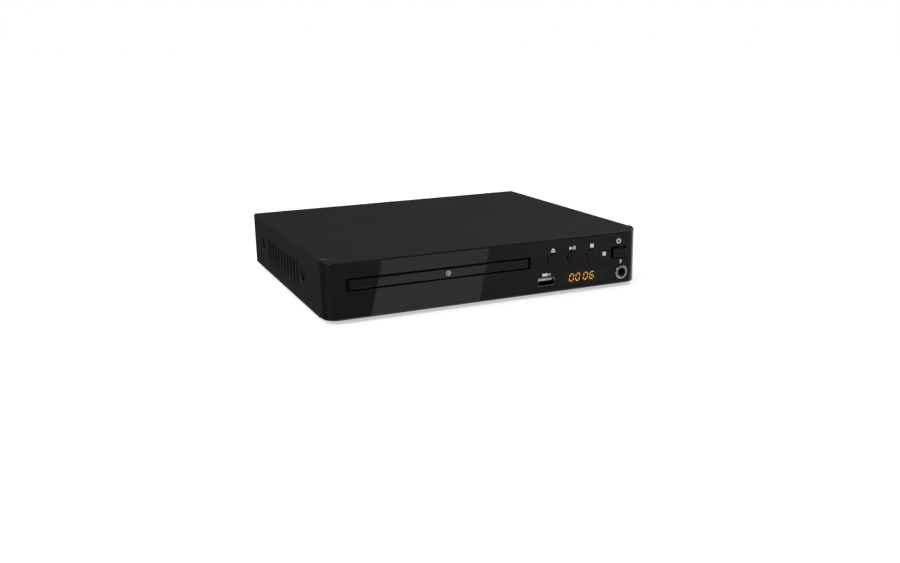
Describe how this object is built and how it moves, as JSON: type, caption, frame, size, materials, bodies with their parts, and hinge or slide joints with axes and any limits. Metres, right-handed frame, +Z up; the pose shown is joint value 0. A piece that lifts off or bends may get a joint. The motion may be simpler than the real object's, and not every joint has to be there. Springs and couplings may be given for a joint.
{
  "type": "disc player",
  "caption": "Slim disc player with a folded steel cover, moulded front, sliding disc tray, tilting spindle unit, buttons and sockets.",
  "frame": {"origin": "centre of the footprint, on the surface the rubber feet stand on", "axes": "+X to the right seen from the front, +Y from the front panel to the rear, +Z up"},
  "size_m": [0.23, 0.204, 0.041],
  "materials": {
    "front_plastic": "glossy black moulding",
    "smoked": "smoked clear plastic",
    "cover_paint": "fine matt black paint",
    "zinc_steel": "zinc-plated sheet",
    "rubber": "matt",
    "black_screw": "black-plated",
    "screw_steel": "zinc-plated",
    "button_plastic": "glossy black",
    "board_green": "solder-masked laminate",
    "board_tan": "paper laminate",
    "display_black": "dark moulding",
    "amber_glow": "lit amber bars",
    "black_parts": "moulded",
    "milky": "milky light guide",
    "nickel": "nickel-plated",
    "white_plastic": "moulded",
    "ferrite": "sintered core and taped winding",
    "sleeve": "printed sleeve",
    "alloy": "bare extrusion",
    "yellow": "moulded",
    "orange": "moulded",
    "white": "moulded",
    "red": "moulded",
    "wire_blue": "insulated wire",
    "ribbon_white": "flat ribbon",
    "loader_black": "moulded",
    "tray_black": "moulded, satin",
    "gear_white": "acetal",
    "motor_steel": "drawn can",
    "rods": "ground and polished",
    "zinc_cast": "die-cast",
    "lens": "coated lens"
  },
  "bodies": {
    "case": {"front_bezel": "front_plastic", "display_window": "smoked", "top_cover": "cover_paint", "chassis_base": "zinc_steel", "rubber_feet": "rubber", "cover_screws": "black_screw", "inner_screws": "screw_steel", "front_board": "board_tan", "display_module": "display_black", "display_segments": "amber_glow", "front_switches": "black_parts", "standby_light": "milky", "power_switch": "black_parts", "usb_port": "nickel", "usb_tongue": "white_plastic", "mic_jack": "black_parts", "mic_nut": "nickel", "mic_board": "board_tan", "psu_board": "board_tan", "transformer": "ferrite", "psu_capacitors": "sleeve", "heatsinks": "alloy", "main_board": "board_green", "main_board_parts": "black_parts", "rca_housing": "black_parts", "rca_sockets": "nickel", "rca_ring_yellow": "yellow", "rca_ring_orange": "orange", "rca_ring_white": "white", "rca_ring_red": "red", "hdmi_port": "nickel", "mains_inlet": "black_parts", "mains_wires": "wire_blue", "front_ribbon": "ribbon_white", "loader_frame": "loader_black", "tray_motor": "motor_steel", "drive_belt": "rubber", "clamp_bridge": "zinc_steel"},
    "tray": {"disc_tray": "tray_black", "tray_door": "front_plastic"},
    "tray_gear": {"tray_gear": "gear_white"},
    "pulley_gear": {"pulley_gear": "gear_white"},
    "motor_pulley": {"motor_pulley": "gear_white"},
    "cam": {"cam_slider": "gear_white"},
    "lift_unit": {"lift_frame": "loader_black", "rubber_dampers": "rubber", "traverse_plate": "zinc_steel", "guide_rods": "rods", "spindle_motor": "motor_steel", "feed_motor": "motor_steel"},
    "turntable": {"turntable": "black_parts"},
    "pickup": {"pickup": "zinc_cast"},
    "lens": {"objective_lens": "lens"},
    "feed_gear": {"feed_gear": "gear_white"},
    "feed_pinion": {"feed_pinion": "gear_white"},
    "clamp": {"disc_clamp": "gear_white"},
    "eject": {"eject_button": "button_plastic"},
    "play": {"play_button": "button_plastic"},
    "stop": {"stop_button": "button_plastic"},
    "power": {"power_button": "button_plastic"}
  },
  "joints": [
    {"name": "tray_slide", "type": "slide", "parent": "case", "child": "tray", "axis": [0, 1, 0], "range_m": [-0.13, 0]},
    {"name": "tray_gear_spin", "type": "hinge", "parent": "case", "child": "tray_gear", "pos_m": [-0.08825, -0.07725, 0.0177], "axis": [0, 0, 1], "range_deg": [0, 1145.93]},
    {"name": "pulley_gear_spin", "type": "hinge", "parent": "case", "child": "pulley_gear", "pos_m": [-0.07125, -0.07725, 0.0177], "axis": [0, 0, 1], "range_deg": [-1637.03, 0]},
    {"name": "motor_pulley_spin", "type": "hinge", "parent": "case", "child": "motor_pulley", "pos_m": [-0.0294, -0.07795, 0.0195], "axis": [0, 0, 1], "range_deg": [-5357.54, 0]},
    {"name": "unit_lift", "type": "hinge", "parent": "case", "child": "lift_unit", "pos_m": [-0.0362, 0.05175, 0.0169], "axis": [-1, 0, 0], "range_deg": [0, 5.4]},
    {"name": "cam_slide", "type": "slide", "parent": "case", "child": "cam", "axis": [1, 0, 0], "range_m": [0, 0.01801]},
    {"name": "turntable_spin", "type": "hinge", "parent": "lift_unit", "child": "turntable", "pos_m": [-0.0362, -0.03287, 0.01955], "axis": [0, -0.094, 0.9956], "continuous": true},
    {"name": "pickup_slide", "type": "slide", "parent": "lift_unit", "child": "pickup", "axis": [0, 0.9956, 0.094], "range_m": [0, 0.034]},
    {"name": "lens_focus", "type": "slide", "parent": "pickup", "child": "lens", "axis": [0, -0.094, 0.9956], "range_m": [-0.0005, 0.0005], "stiffness_N_per_m": 60},
    {"name": "feed_gear_spin", "type": "hinge", "parent": "lift_unit", "child": "feed_gear", "pos_m": [-0.072, 0.00609, 0.01118], "axis": [0, -0.094, 0.9956], "range_deg": [0, 405.86]},
    {"name": "feed_pinion_spin", "type": "hinge", "parent": "lift_unit", "child": "feed_pinion", "pos_m": [-0.072, -0.00825, 0.00983], "axis": [0, -0.094, 0.9956], "range_deg": [-811.7, 0]},
    {"name": "clamp_spin", "type": "hinge", "parent": "case", "child": "clamp", "pos_m": [-0.0362, -0.03225, 0.0324], "axis": [0, 0, 1], "continuous": true},
    {"name": "eject_press", "type": "slide", "parent": "case", "child": "eject", "axis": [0, 1, 0], "range_m": [0, 0.0006], "stiffness_N_per_m": 900},
    {"name": "play_press", "type": "slide", "parent": "case", "child": "play", "axis": [0, 1, 0], "range_m": [0, 0.0006], "stiffness_N_per_m": 900},
    {"name": "stop_press", "type": "slide", "parent": "case", "child": "stop", "axis": [0, 1, 0], "range_m": [0, 0.0006], "stiffness_N_per_m": 900},
    {"name": "power_press", "type": "slide", "parent": "case", "child": "power", "axis": [0, 1, 0], "range_m": [0, 0.0016], "stiffness_N_per_m": 700}
  ],
  "couplings": [
    {"joint": "tray_gear_spin", "follows": "tray_slide", "rad_per_m": -153.85},
    {"joint": "pulley_gear_spin", "follows": "tray_slide", "rad_per_m": 219.78},
    {"joint": "motor_pulley_spin", "follows": "tray_slide", "rad_per_m": 719.28},
    {"joint": "cam_slide", "follows": "unit_lift", "m_per_rad": 0.19111},
    {"joint": "feed_gear_spin", "follows": "pickup_slide", "rad_per_m": 208.33},
    {"joint": "feed_pinion_spin", "follows": "pickup_slide", "rad_per_m": -416.67}
  ]
}
